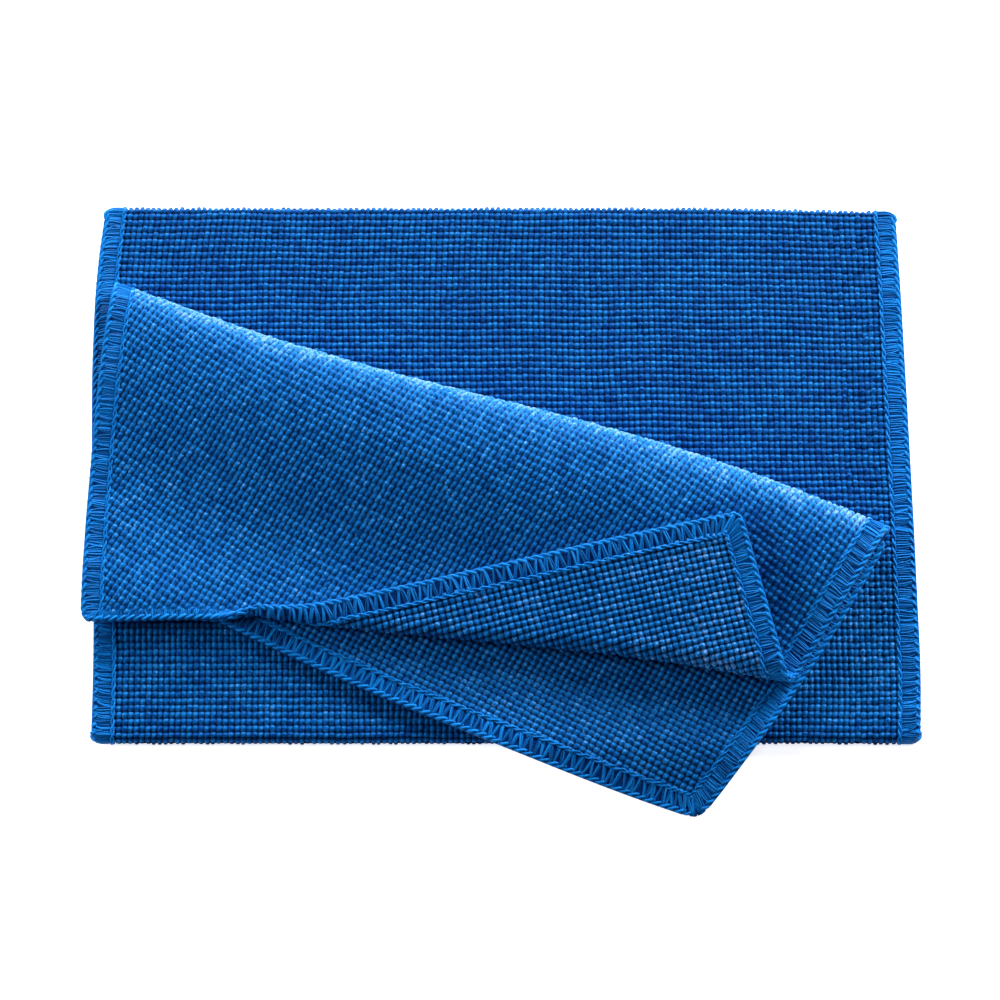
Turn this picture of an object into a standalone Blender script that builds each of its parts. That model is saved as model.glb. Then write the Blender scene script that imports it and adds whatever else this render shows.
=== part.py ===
"""A pearl-knit microfibre cleaning cloth, folded flat, with a second fold of it turned back on top.

Two hemmed sheets lie together.  The lower one is folded into a flat package, both ends tucked
beneath it.  The upper one lies over it: it is folded along a slanting lofty ridge, and the free
corner of its top layer is curled back, so that the inner face shows.

Sizes are in millimetres and become metres where each mesh is made.  X runs along the package,
Y away from its front fold and Z up.  Each sheet is one thin solid about its middle surface.
"""
import math

import bmesh
import bpy
import numpy as np

MM = 0.001

# ---- the knitted sheet ----------------------------------------------------------------------
SHEET = 2.6                 # thickness through the knit's knobs
LAYER_GAP = 0.5             # air between layers that lie on each other
HALF = SHEET / 2

# ---- the lower cloth: a flat package of two layers ------------------------------------------
PACK_REAR = 118.1           # outermost line of the rear fold
PACK_FRONT = -93.0          # outermost line of the front fold
PACK_WIDTH = 301.0          # between the side hems at the folds
CORNER = 3.2                # the folds draw in where the side hems cross them
REAR_SLACK = 1.4            # the rear fold falls back this much at the right hem
TUCK_MEET = 12.0            # the two tucked ends meet on this line
TUCK_SPACE = 4.0            # and stop this far apart
FOLD_TURN = (SHEET + LAYER_GAP) / 2
PACK_TOP = 2 * SHEET + LAYER_GAP

# place between the folds from front to rear, side hem's outer edge at the left, at the right
PACK_SIDES = (
    (-93.0, -150.4, 150.3),
    (-70.0, -150.5, 151.1),
    (-40.0, -151.2, 150.9),
    (20.0, -153.8, 150.0),
    (60.0, -154.7, 149.2),
    (95.0, -153.9, 148.4),
    (118.0, -151.8, 147.6),
)

# ---- levels of the upper cloth's middle surface ---------------------------------------------
ON_PACK = PACK_TOP + LAYER_GAP + HALF
ON_LAYER = ON_PACK + SHEET + LAYER_GAP

# ---- the upper cloth's ridge ----------------------------------------------------------------
RIDGE_LEFT = np.array([-147.0, 83.5])
RIDGE_RIGHT = np.array([141.0, -14.2])
RIDGE_SNAKE = 3.2           # the ridge wanders this far to each side of a straight line
LOFT_REACH = 62.0           # the top layer comes down from the crest over this distance
ARCH_POWER = 2.0            # how soon the arch over the ridge eases off

# share of the ridge from its left end, radius of its turn to the layer beneath, rise of its arch
RIDGE_SHAPE = (
    (0.00, 2.35, 8.0),
    (0.10, 3.55, 9.2),
    (0.30, 5.55, 10.6),
    (0.55, 6.75, 11.2),
    (0.80, 6.15, 9.6),
    (0.93, 5.05, 7.4),
    (1.00, 4.05, 6.0),
)

# ---- corners of the upper cloth, seen from above --------------------------------------------
FREE_LEFT = np.array([-156.0, -51.0])    # free corner at the left
TWIST = np.array([-92.0, -49.6])         # where the free hem turns over
ROLL_RIGHT = np.array([101.8, -78.0])    # right end of the curled fold
CURL_LENGTH = 68.0                       # cloth past the curled fold, along the right hem
UNDER_RIGHT = np.array([69.6, -121.2])   # corner of the layer beneath, in front of the package
UNDER_LEFT = np.array([-146.0, -26.0])   # its hidden corner
LEFT_HEM_BOW = 2.4
ROLL_BOW = 2.6              # the curled fold swells towards the front
UNDER_HEM_BOW = 3.2         # the right hem of the layer beneath swells outwards
UNDER_FRONT_BOW = 5.6       # and its front hem towards the front

# ---- the curled fold ------------------------------------------------------------------------
CURL_TIGHT = 1.7            # radius where the hem turns over
CURL_WIDE = 5.0             # radius at the right hem
CURL_TURN = math.radians(171)
CURL_START = 22.0           # the hem turns over within this length
HEM_LIFT = 3.0              # width of hem that lifts before the curl proper
HEM_RAISE = 2.6             # the free hem at the left stands this far off the package
RAISE_REACH = 30.0          # and comes down over this distance

# ---- the front overhang ---------------------------------------------------------------------
EDGE_LIFT = 1.2             # the layer beneath rides up this much over the front fold
EDGE_REACH = 22.0
DROOP = 4.6                 # and its corner hangs this far below its level
DROOP_REACH = 30.0
CORNER_SETTLE = 24.0        # the free left corner settles on the package over this distance
CORNER_REACH = 40.0         # which starts this far short of the place where the hem turns over

EDGE_SHARE = 6              # a side hem's bow fades out over the sheet by this power

CLOTH_BLUE = (0.020, 0.155, 0.560, 1.0)


def eased(x):
    """Smooth step from 0 to 1 as x goes from 0 to 1."""
    x = np.clip(x, 0.0, 1.0)
    return x * x * (3.0 - 2.0 * x)


def between(table, x, column=1):
    """A smooth curve through a table's rows, read at x, with the slopes of the rows' neighbours."""
    rows = np.array(table, dtype=float)
    xs, ys = rows[:, 0], rows[:, column]
    slopes = np.gradient(ys, xs)
    i = np.clip(np.searchsorted(xs, x, side="right") - 1, 0, len(xs) - 2)
    span = xs[i + 1] - xs[i]
    f = np.clip((x - xs[i]) / span, 0.0, 1.0)
    rise = f * f * (3.0 - 2.0 * f)
    start = f * (1.0 - f) ** 2
    end = f * f * (f - 1.0)
    return ys[i] + (ys[i + 1] - ys[i]) * rise + span * (slopes[i] * start + slopes[i + 1] * end)


def along(start, end):
    """Length and unit direction from one plan point to another."""
    run = end - start
    length = float(np.hypot(*run))
    return length, run / length


RIDGE_LENGTH, RIDGE_WAY = along(RIDGE_LEFT, RIDGE_RIGHT)
RIDGE_OUT = np.array([RIDGE_WAY[1], -RIDGE_WAY[0]])      # from the ridge towards the front
ROLL_LENGTH, ROLL_WAY = along(TWIST, ROLL_RIGHT)
ROLL_OUT = np.array([ROLL_WAY[1], -ROLL_WAY[0]])
RIGHT_HEM_WAY = along(RIDGE_RIGHT, ROLL_RIGHT)[1]
FREE_RIGHT_FLAT = ROLL_RIGHT + RIGHT_HEM_WAY * CURL_LENGTH   # the free corner before it curls


def ridge_radius(run):
    """Radius of the quarter turn that ends level with the layer beneath."""
    return between(RIDGE_SHAPE, run / RIDGE_LENGTH, 1)


def arch_rise(run):
    """Height of the arch from the ridge's rearmost line to its crest."""
    return between(RIDGE_SHAPE, run / RIDGE_LENGTH, 2)


ARCH_LENGTH = np.linspace(0.0, 1.0, 241)
ARCH_TILT = math.pi / 2 * (1.0 - ARCH_LENGTH) ** ARCH_POWER


def running_sum(values, at):
    """The area under a curve up to each of its points, by the trapezium rule."""
    return np.concatenate([[0.0], np.cumsum((values[1:] + values[:-1]) / 2 * np.diff(at))])


ARCH_FORWARD = running_sum(np.cos(ARCH_TILT), ARCH_LENGTH)
ARCH_UP = running_sum(np.sin(ARCH_TILT), ARCH_LENGTH)


def ridge_arch(out, rise):
    """The ridge's upper side: it starts upright and eases over to level, its length kept.

    Returns how far in a point lies, how far below the crest, and how far in the crest is.
    """
    length = rise / ARCH_UP[-1]
    share = np.clip(out / length, 0.0, 1.0)
    inward = length * np.interp(share, ARCH_LENGTH, ARCH_FORWARD) + np.maximum(out - length, 0.0)
    below = rise - length * np.interp(share, ARCH_LENGTH, ARCH_UP)
    return inward, below, length * ARCH_FORWARD[-1]


def resting_level(x, y):
    """The top layer lies on the layer beneath, and on the package near its free left corner."""
    hem = UNDER_RIGHT - UNDER_LEFT
    ahead = (hem[0] * (UNDER_LEFT[1] - y) - hem[1] * (UNDER_LEFT[0] - x)) / np.hypot(*hem)
    return ON_LAYER - (ON_LAYER - ON_PACK) * eased(ahead / CORNER_SETTLE) * eased((TWIST[0] - x) / CORNER_REACH)


def under_level(y):
    """The layer beneath rides up over the package's front fold, then droops past it."""
    ride = EDGE_LIFT * eased(1.0 - np.abs(y - PACK_FRONT) / EDGE_REACH)
    hang = DROOP * eased((PACK_FRONT - y) / DROOP_REACH)
    return ON_PACK + ride - hang


def curl_radius(past_twist):
    """The curl opens out from the place where the hem turns over to the right hem."""
    return CURL_TIGHT + (CURL_WIDE - CURL_TIGHT) * eased(past_twist / ROLL_LENGTH)


def roll_swell(past_twist):
    """The curled fold is a shallow arc between its two ends."""
    share = np.clip(past_twist / ROLL_LENGTH, 0.0, 1.0)
    return ROLL_BOW * 4.0 * share * (1.0 - share)


def hem_raise(a, b):
    """The free hem stands a little off the package near its left corner, and eases down inwards."""
    from_hem = b - (FREE_LEFT[1] + (TWIST[1] - FREE_LEFT[1]) * (a - FREE_LEFT[0]) / (TWIST[0] - FREE_LEFT[0]))
    return HEM_RAISE * eased(1.0 - from_hem / RAISE_REACH) * eased((TWIST[0] - a) / CORNER_REACH)


def top_layer(a, b):
    """Middle surface of the ridge, top layer and curl, from flat cloth coordinates.

    Flat coordinates equal the plan position on the open top layer.  Past the ridge line the cloth
    turns over, its length kept.  Past the curl's line it winds up and back.
    """
    run = (a - RIDGE_LEFT[0]) * RIDGE_WAY[0] + (b - RIDGE_LEFT[1]) * RIDGE_WAY[1]
    out = (a - RIDGE_LEFT[0]) * RIDGE_OUT[0] + (b - RIDGE_LEFT[1]) * RIDGE_OUT[1]
    share = run / RIDGE_LENGTH
    radius = ridge_radius(run)
    snake = RIDGE_SNAKE * np.sin(2 * math.pi * share)

    past_twist = (a - TWIST[0]) * ROLL_WAY[0] + (b - TWIST[1]) * ROLL_WAY[1]
    past_roll = (a - TWIST[0]) * ROLL_OUT[0] + (b - TWIST[1]) * ROLL_OUT[1] - roll_swell(past_twist)
    winding = curl_radius(past_twist)
    strength = np.maximum(eased(1.0 + past_twist / CURL_START), 1e-3)
    hem_line = FREE_LEFT[1] + (TWIST[1] - FREE_LEFT[1]) * (a - FREE_LEFT[0]) / (TWIST[0] - FREE_LEFT[0])
    in_curl = past_roll + winding + HALF
    in_lift = HEM_LIFT - (b - hem_line)
    wound = np.where(past_twist > 0.0, in_curl, np.minimum(in_curl, in_lift))
    wound = np.maximum(wound, 0.0)
    bend = winding / strength
    angle = np.minimum(wound / bend, CURL_TURN)
    straight = wound - angle * bend
    forward = bend * np.sin(angle) + straight * np.cos(angle)
    lift = bend * (1.0 - np.cos(angle)) + straight * np.sin(angle)

    turn = np.clip(-out / radius, 0.0, math.pi / 2)
    tucked = radius * (1.0 - np.cos(turn)) - out - turn * radius
    rise = arch_rise(run)
    arched, below, crest_in = ridge_arch(out, rise)
    inward = np.where(out >= 0.0, arched, tucked)
    shift = inward - out
    x = a + shift * RIDGE_OUT[0] + (forward - wound) * ROLL_OUT[0] + snake * RIDGE_OUT[0]
    y = b + shift * RIDGE_OUT[1] + (forward - wound) * ROLL_OUT[1] + snake * RIDGE_OUT[1]

    start_x = x - forward * ROLL_OUT[0]
    start_y = y - forward * ROLL_OUT[1]
    rearmost = ON_PACK + radius
    crest = rearmost + rise
    floor = resting_level(start_x, start_y)
    loft = 1.0 - eased((inward - crest_in - wound) / LOFT_REACH)
    above = floor + (crest - floor) * loft + lift + hem_raise(a, b) - below
    z = np.where(out >= 0.0, above, rearmost - radius * np.sin(turn))
    return np.stack([x, y, z], axis=-1)


def sheet_solid(name, middle, mesh_thickness):
    """A closed thin solid about a grid of middle-surface points."""
    du = np.gradient(middle, axis=0)
    dv = np.gradient(middle, axis=1)
    normal = np.cross(du, dv)
    normal /= np.linalg.norm(normal, axis=-1, keepdims=True)
    rows, cols = middle.shape[:2]
    upper = (middle + normal * mesh_thickness / 2).reshape(-1, 3)
    lower = (middle - normal * mesh_thickness / 2).reshape(-1, 3)
    points = np.concatenate([upper, lower]) * MM
    count = rows * cols

    index = np.arange(count).reshape(rows, cols)
    quads = np.stack([index[:-1, :-1], index[1:, :-1], index[1:, 1:], index[:-1, 1:]], axis=-1).reshape(-1, 4)
    rim = np.concatenate([index[:-1, 0], index[-1, :-1], index[:0:-1, -1], index[0, :0:-1]])
    onward = np.roll(rim, -1)
    side = np.stack([rim, rim + count, onward + count, onward], axis=-1)
    faces = np.concatenate([quads, quads[:, ::-1] + count, side])

    mesh = bpy.data.meshes.new(name)
    mesh.from_pydata(points.tolist(), [], faces.tolist())
    shaped = bmesh.new()
    shaped.from_mesh(mesh)
    bmesh.ops.triangulate(shaped, faces=shaped.faces[:])
    bmesh.ops.recalc_face_normals(shaped, faces=shaped.faces[:])
    shaped.to_mesh(mesh)
    shaped.free()
    mesh.shade_smooth()
    item = bpy.data.objects.new(name, mesh)
    bpy.context.collection.objects.link(item)
    return item


def lower_cloth():
    """The package: top layer, two tight folds, and the ends tucked beneath."""
    half_turn = np.linspace(0.0, math.pi, 9)
    rear = PACK_REAR - HALF - FOLD_TURN
    front = PACK_FRONT + HALF + FOLD_TURN
    low = HALF
    end_rear = TUCK_MEET + TUCK_SPACE / 2
    end_front = TUCK_MEET - TUCK_SPACE / 2
    y = np.concatenate([
        np.linspace(end_rear, rear, 5)[:-1],
        rear + FOLD_TURN * np.sin(half_turn),
        np.linspace(rear, front, 9)[1:-1],
        front - FOLD_TURN * np.sin(half_turn),
        np.linspace(front, end_front, 5)[1:],
    ])
    z = np.concatenate([
        np.full(4, low),
        low + FOLD_TURN * (1.0 - np.cos(half_turn)),
        np.full(7, low + 2 * FOLD_TURN),
        low + FOLD_TURN * (1.0 + np.cos(half_turn)),
        np.full(4, low),
    ])
    turn = np.linspace(0.0, math.pi / 2, 5)
    ends = CORNER * (1.0 - np.cos(turn)) / PACK_WIDTH
    share = np.concatenate([ends, np.linspace(0.0, 1.0, 9)[1:-1], 1.0 - ends[::-1]])
    drawn = CORNER * (1.0 - np.sin(turn))
    pull = np.concatenate([drawn, np.zeros(7), drawn[::-1]])[:, None]
    slack = REAR_SLACK * eased((share[:, None] - 0.75) / 0.25)

    middle_y = (PACK_REAR + PACK_FRONT) / 2
    reach = (PACK_REAR - PACK_FRONT) / 2
    left = between(PACK_SIDES, y, 1)
    right = between(PACK_SIDES, y, 2)
    grid_x = left[None, :] + share[:, None] * (right - left)[None, :]
    side = ((y - middle_y) / reach)[None, :]
    grid_y = y[None, :] - pull * side - slack * np.maximum(side, 0.0)
    grid_z = np.broadcast_to(z, grid_x.shape)
    return sheet_solid("lower_cloth", np.stack([grid_x, grid_y, grid_z], axis=-1), SHEET)


def upper_cloth():
    """The slanting fold: layer beneath, ridge, top layer and curled corner, as one sheet."""
    share = np.concatenate([np.linspace(0.0, 0.24, 6), np.linspace(0.27, 1.0, 16)])
    ridge = RIDGE_LEFT + share[:, None] * (RIDGE_RIGHT - RIDGE_LEFT)
    twist_share = 0.30
    first = np.clip(share / twist_share, 0.0, 1.0)[:, None]
    second = np.clip((share - twist_share) / (1.0 - twist_share), 0.0, 1.0)[:, None]
    hem = FREE_LEFT + first * (TWIST - FREE_LEFT) + second * (FREE_RIGHT_FLAT - TWIST)

    reach = hem - ridge
    length = np.hypot(reach[:, 0], reach[:, 1])
    outward = reach @ ROLL_OUT
    past_twist = (hem - TWIST) @ ROLL_WAY
    bend = curl_radius(past_twist) + HALF
    winds_at = ((TWIST - ridge) @ ROLL_OUT + roll_swell(past_twist) - bend) / outward
    lifts_at = 1.0 - HEM_LIFT / length
    starts = np.where(past_twist > 0.0, winds_at, lifts_at)[:, None]
    flat = np.concatenate([0.24 * np.linspace(0.0, 1.0, 10) ** 1.4, np.linspace(0.32, 1.0, 8)])
    wound = np.linspace(0.0, 1.0, 17)[1:] ** 1.8
    steps = np.concatenate([starts * flat, starts + (1.0 - starts) * wound], axis=1)
    a = ridge[:, :1] + steps * reach[:, :1]
    b = ridge[:, 1:] + steps * reach[:, 1:]
    bow = LEFT_HEM_BOW * 4.0 * steps * (1.0 - steps)
    a = a - bow * (1.0 - share[:, None]) ** EDGE_SHARE
    top = top_layer(a, b)

    run = share * RIDGE_LENGTH
    radius = ridge_radius(run)
    quarter = np.linspace(-math.pi / 2, 0.0, 5)[:-1]
    back = -radius[:, None] * -quarter[None, :]
    turned = top_layer(
        ridge[:, None, 0] + back * RIDGE_OUT[0],
        ridge[:, None, 1] + back * RIDGE_OUT[1],
    )

    level = turned[:, 0, :]
    edge = UNDER_LEFT + share[:, None] * (UNDER_RIGHT - UNDER_LEFT)
    edge[:, 1] -= UNDER_FRONT_BOW * 4.0 * share * (1.0 - share)
    along_under = np.linspace(0.0, 1.0, 16)[1:][::-1]
    under_x = level[:, :1] + along_under * (edge[:, :1] - level[:, :1])
    under_y = level[:, 1:2] + along_under * (edge[:, 1:] - level[:, 1:2])
    swell = 4.0 * along_under * (1.0 - along_under)
    under_x = under_x + UNDER_HEM_BOW * swell * share[:, None] ** EDGE_SHARE
    under = np.stack([under_x, under_y, under_level(under_y)], axis=-1)

    middle = np.concatenate([under, turned, top], axis=1)
    return sheet_solid("upper_cloth", middle, SHEET)


def cloth_material(name, colour):
    """Matt dyed microfibre."""
    material = bpy.data.materials.new(name)
    material.use_nodes = True
    surface = material.node_tree.nodes["Principled BSDF"]
    surface.inputs["Base Color"].default_value = colour
    surface.inputs["Roughness"].default_value = 0.9
    surface.inputs["Metallic"].default_value = 0.0
    return material


def centre_on_origin(items):
    """Move the pieces so that the origin is the bottom centre of the box round them all."""
    points = np.array([tuple(item.matrix_world @ v.co) for item in items for v in item.data.vertices])
    low, high = points.min(axis=0), points.max(axis=0)
    shift = ((low + high) / 2 * (1, 1, 0)) + low * (0, 0, 1)
    for item in items:
        item.location = [-value for value in shift]
    return shift


def main():
    for item in list(bpy.data.objects):
        bpy.data.objects.remove(item, do_unlink=True)
    pieces = [lower_cloth(), upper_cloth()]
    for item in pieces:
        item.data.materials.append(cloth_material(item.name.split("_")[0] + "_blue", CLOTH_BLUE))
    shift = centre_on_origin(pieces)
    print("moved by", [round(value * 1000, 2) for value in shift], "mm")


main()
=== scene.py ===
# %% [markdown]
# # A folded pearl-knit microfibre cloth
#
# Two hemmed sheets lie together.  The lower one is folded into a flat package.  The upper one is
# folded along a slanting, lofty ridge on top of it, and its free corner is curled back so that
# its inner face shows.  This notebook rebuilds the rows of small round loops, the overlocked
# hems with their threads, and the dye's blue.
#
# Lengths are in millimetres until a mesh is made.  `MM` turns them into metres.

# %% The frame that the pieces are built in
import math

import bpy
import numpy as np
from mathutils import Matrix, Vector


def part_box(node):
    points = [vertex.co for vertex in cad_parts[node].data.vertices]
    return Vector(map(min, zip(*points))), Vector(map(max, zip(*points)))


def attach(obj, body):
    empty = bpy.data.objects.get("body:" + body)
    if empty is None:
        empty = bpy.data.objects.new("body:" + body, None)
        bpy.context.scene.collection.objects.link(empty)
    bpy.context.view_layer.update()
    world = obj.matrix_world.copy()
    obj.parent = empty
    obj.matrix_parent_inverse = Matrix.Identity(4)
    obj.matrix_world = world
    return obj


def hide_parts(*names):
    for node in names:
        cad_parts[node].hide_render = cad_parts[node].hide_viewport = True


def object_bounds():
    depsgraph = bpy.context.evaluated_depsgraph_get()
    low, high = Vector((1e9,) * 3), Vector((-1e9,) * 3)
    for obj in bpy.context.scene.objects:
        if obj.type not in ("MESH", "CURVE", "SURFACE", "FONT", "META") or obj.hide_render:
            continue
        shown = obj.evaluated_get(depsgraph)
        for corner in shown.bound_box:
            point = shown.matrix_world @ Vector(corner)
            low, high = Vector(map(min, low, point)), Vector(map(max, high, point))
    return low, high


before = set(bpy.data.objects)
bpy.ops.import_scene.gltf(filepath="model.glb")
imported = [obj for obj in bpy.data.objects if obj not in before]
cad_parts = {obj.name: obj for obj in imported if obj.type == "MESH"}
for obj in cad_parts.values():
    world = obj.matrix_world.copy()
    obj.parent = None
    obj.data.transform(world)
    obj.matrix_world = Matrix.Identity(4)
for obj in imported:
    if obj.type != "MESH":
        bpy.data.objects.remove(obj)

cad_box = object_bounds()
MM = 0.001
print("solid model's box:", cad_box)

# %% [markdown]
# ## Sizes of the cloth
#
# A pearl-knit cloth is one knitted sheet, about 2.6 mm through its loops.  The sizes of the
# sheet and of its folds are the solid model's, so that the surface lies where the solids are.

# %% Sizes of the sheet, the package and the slanting fold
SHEET = 2.6
HALF = SHEET / 2
LAYER_GAP = 0.5

PACK_REAR = 118.1
PACK_FRONT = -93.0
PACK_WIDTH = 301.0
CORNER = 3.2
REAR_SLACK = 1.4
TUCK_MEET = 12.0
TUCK_SPACE = 4.0
FOLD_TURN = (SHEET + LAYER_GAP) / 2
PACK_TOP = 2 * SHEET + LAYER_GAP
PACK_MIDDLE = (PACK_REAR + PACK_FRONT) / 2
PACK_REACH = (PACK_REAR - PACK_FRONT) / 2

# place between the folds from front to rear, left side hem's edge, right side hem's edge
PACK_SIDES = (
    (-93.0, -150.4, 150.3),
    (-70.0, -150.5, 151.1),
    (-40.0, -151.2, 150.9),
    (20.0, -153.8, 150.0),
    (60.0, -154.7, 149.2),
    (95.0, -153.9, 148.4),
    (118.0, -151.8, 147.6),
)

ON_PACK = PACK_TOP + LAYER_GAP + HALF
ON_LAYER = ON_PACK + SHEET + LAYER_GAP

RIDGE_LEFT = np.array([-147.0, 83.5])
RIDGE_RIGHT = np.array([141.0, -14.2])
RIDGE_SNAKE = 3.2
LOFT_REACH = 62.0
ARCH_POWER = 2.0

# share of the ridge from its left end, radius of its turn to the layer beneath, rise of its arch
RIDGE_SHAPE = (
    (0.00, 2.35, 8.0),
    (0.10, 3.55, 9.2),
    (0.30, 5.55, 10.6),
    (0.55, 6.75, 11.2),
    (0.80, 6.15, 9.6),
    (0.93, 5.05, 7.4),
    (1.00, 4.05, 6.0),
)

FREE_LEFT = np.array([-156.0, -51.0])
TWIST = np.array([-92.0, -49.6])
ROLL_RIGHT = np.array([101.8, -78.0])
CURL_LENGTH = 68.0
UNDER_RIGHT = np.array([69.6, -121.2])
UNDER_LEFT = np.array([-146.0, -26.0])
LEFT_HEM_BOW = 2.4
ROLL_BOW = 2.6
UNDER_HEM_BOW = 3.2
UNDER_FRONT_BOW = 5.6

CURL_TIGHT = 1.7
CURL_WIDE = 5.0
CURL_TURN = math.radians(171)
CURL_START = 22.0
HEM_LIFT = 3.0
HEM_WIDTH = 7.9
NARROW_HEM = 4.4
HEM_RAISE = 2.6
RAISE_REACH = 30.0

EDGE_LIFT = 1.2
EDGE_REACH = 22.0
DROOP = 4.6
DROOP_REACH = 30.0
CORNER_SETTLE = 24.0
CORNER_REACH = 40.0
HEM_WRAP = 12.0

# height, size and seed of the slow waves of each surface
LOWER_WAVES = ((0.30, 34.0, 3), (0.16, 13.0, 4))
UPPER_WAVES = ((0.35, 30.0, 11), (0.18, 12.0, 12))
UNDER_WAVES = ((0.22, 28.0, 21),)
WAVES_START = 12.0

# %% [markdown]
# ## Tools for smooth numbers
#
# Cloth never lies dead flat, so every surface gets a little slow unevenness, from a coarse grid
# of seeded random values, blended smoothly.

# %% Smooth steps, smooth tables and slow unevenness
def eased(x):
    """Smooth step from 0 to 1 as x goes from 0 to 1: three x squared less two x cubed."""
    x = np.clip(x, 0.0, 1.0)
    return x * x * (3.0 - 2.0 * x)


def between(table, x, column=1):
    """A smooth curve through a table's rows, read at x: cubic pieces that share their slopes."""
    rows = np.array(table, dtype=float)
    xs, ys = rows[:, 0], rows[:, column]
    slopes = np.gradient(ys, xs)
    i = np.clip(np.searchsorted(xs, x, side="right") - 1, 0, len(xs) - 2)
    span = xs[i + 1] - xs[i]
    f = np.clip((x - xs[i]) / span, 0.0, 1.0)
    rise = eased(f)
    start = f * (1.0 - f) ** 2
    end = f * f * (f - 1.0)
    return ys[i] + (ys[i + 1] - ys[i]) * rise + span * (slopes[i] * start + slopes[i + 1] * end)


NOISE_SIDE = 64


def unevenness(x, y, size, seed):
    """Slow random waves from -1 to 1: a grid of random values, size mm apart, blended smoothly."""
    values = np.random.default_rng(seed).uniform(-1.0, 1.0, (NOISE_SIDE, NOISE_SIDE))
    gx, gy = x / size + NOISE_SIDE / 2, y / size + NOISE_SIDE / 2
    ix, iy = np.floor(gx).astype(int), np.floor(gy).astype(int)
    fx, fy = eased(gx - ix), eased(gy - iy)
    corner = [values[(ix + i) % NOISE_SIDE, (iy + j) % NOISE_SIDE] for i in (0, 1) for j in (0, 1)]
    near = corner[0] * (1 - fy) + corner[1] * fy
    far = corner[2] * (1 - fy) + corner[3] * fy
    return near * (1 - fx) + far * fx


def waves(x, y, table):
    """The sum of slow waves, each a row of height, size and seed."""
    return sum(height * unevenness(x, y, size, seed) for height, size, seed in table)


# %% Directions of the slanting fold
def along(start, end):
    """Length and unit direction from one plan point to another."""
    run = end - start
    length = float(np.hypot(*run))
    return length, run / length


def to_the_right(way):
    """The direction a quarter turn clockwise from another."""
    return np.array([way[1], -way[0]])


def travel(origin, way, a, b):
    """How far a flat place lies from an origin along a direction."""
    return (a - origin[0]) * way[0] + (b - origin[1]) * way[1]


RIDGE_LENGTH, RIDGE_WAY = along(RIDGE_LEFT, RIDGE_RIGHT)
RIDGE_OUT = to_the_right(RIDGE_WAY)
ROLL_LENGTH, ROLL_WAY = along(TWIST, ROLL_RIGHT)
ROLL_OUT = to_the_right(ROLL_WAY)
RIGHT_HEM_WAY = along(RIDGE_RIGHT, ROLL_RIGHT)[1]
FREE_RIGHT_FLAT = ROLL_RIGHT + RIGHT_HEM_WAY * CURL_LENGTH

# %% [markdown]
# ## Three surfaces
#
# Each sheet is described by a function from flat cloth coordinates (a, b) to a point in space,
# its middle surface.  Knit rows, hems and threads are laid out flat, where they are simple, and
# carried into the folds by these functions.  The folds are few and calm, so a formula does, and
# it keeps every loop of the knit in its row.

# %% The package: a flat sheet with a tight fold at each end
LOW = HALF
FRONT_AT = PACK_FRONT + HALF + FOLD_TURN
REAR_AT = PACK_REAR - HALF - FOLD_TURN
OUTER_TURN = FOLD_TURN + HALF
HALF_TURN = math.pi * OUTER_TURN


def lower_surface(a, b):
    """The package.  a runs in from the left hem, b runs from front to rear along the outer face.

    Past a fold's centre the sheet turns through half a circle and comes back underneath, its
    outer face keeping its length.
    """
    rear, front = b - REAR_AT, FRONT_AT - b
    past = np.maximum(np.maximum(rear, front), 0.0)
    turn = np.minimum(past / OUTER_TURN, math.pi)
    beneath = np.maximum(past - HALF_TURN, 0.0)
    sign = np.where(rear > 0.0, 1.0, -1.0)
    flat = np.clip(b, FRONT_AT, REAR_AT)
    y = flat + sign * (FOLD_TURN * np.sin(turn) - beneath)
    z = LOW + FOLD_TURN * (1.0 + np.cos(turn))

    left, right = between(PACK_SIDES, y, 1), between(PACK_SIDES, y, 2)
    inset = np.clip(np.minimum(a, PACK_WIDTH - a) / CORNER, 0.0, 1.0)
    pull = CORNER * (1.0 - np.sqrt(1.0 - (1.0 - inset) ** 2))
    side = (y - PACK_MIDDLE) / PACK_REACH
    share = a / PACK_WIDTH
    slack = REAR_SLACK * eased((share - 0.75) / 0.25) * np.maximum(side, 0.0)
    x = left + share * (right - left)
    z = z + waves(x, y, LOWER_WAVES) * eased((z - LOW - FOLD_TURN) / FOLD_TURN)
    return np.stack([x, y - pull * side - slack, z], axis=-1)


# %% The slanting fold: ridge, top layer and curl
def ridge_radius(run):
    """Radius of the quarter turn that ends level with the layer beneath."""
    return between(RIDGE_SHAPE, run / RIDGE_LENGTH, 1)


def arch_rise(run):
    """Height of the arch from the ridge's rearmost line to its crest."""
    return between(RIDGE_SHAPE, run / RIDGE_LENGTH, 2)


ARCH_LENGTH = np.linspace(0.0, 1.0, 241)
ARCH_TILT = math.pi / 2 * (1.0 - ARCH_LENGTH) ** ARCH_POWER


def running_sum(values, at):
    """The area under a curve up to each of its points, by the trapezium rule."""
    return np.concatenate([[0.0], np.cumsum((values[1:] + values[:-1]) / 2 * np.diff(at))])


ARCH_FORWARD = running_sum(np.cos(ARCH_TILT), ARCH_LENGTH)
ARCH_UP = running_sum(np.sin(ARCH_TILT), ARCH_LENGTH)


def ridge_arch(out, rise):
    """The ridge's upper side: it starts upright and eases over to level, its length kept.

    The tilt falls as a power of the length still to go, so the bend is tightest at the rear.
    Returns how far in a point lies, how far below the crest, and how far in the crest is.
    """
    length = rise / ARCH_UP[-1]
    share = np.clip(out / length, 0.0, 1.0)
    inward = length * np.interp(share, ARCH_LENGTH, ARCH_FORWARD) + np.maximum(out - length, 0.0)
    below = rise - length * np.interp(share, ARCH_LENGTH, ARCH_UP)
    return inward, below, length * ARCH_FORWARD[-1]


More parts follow.
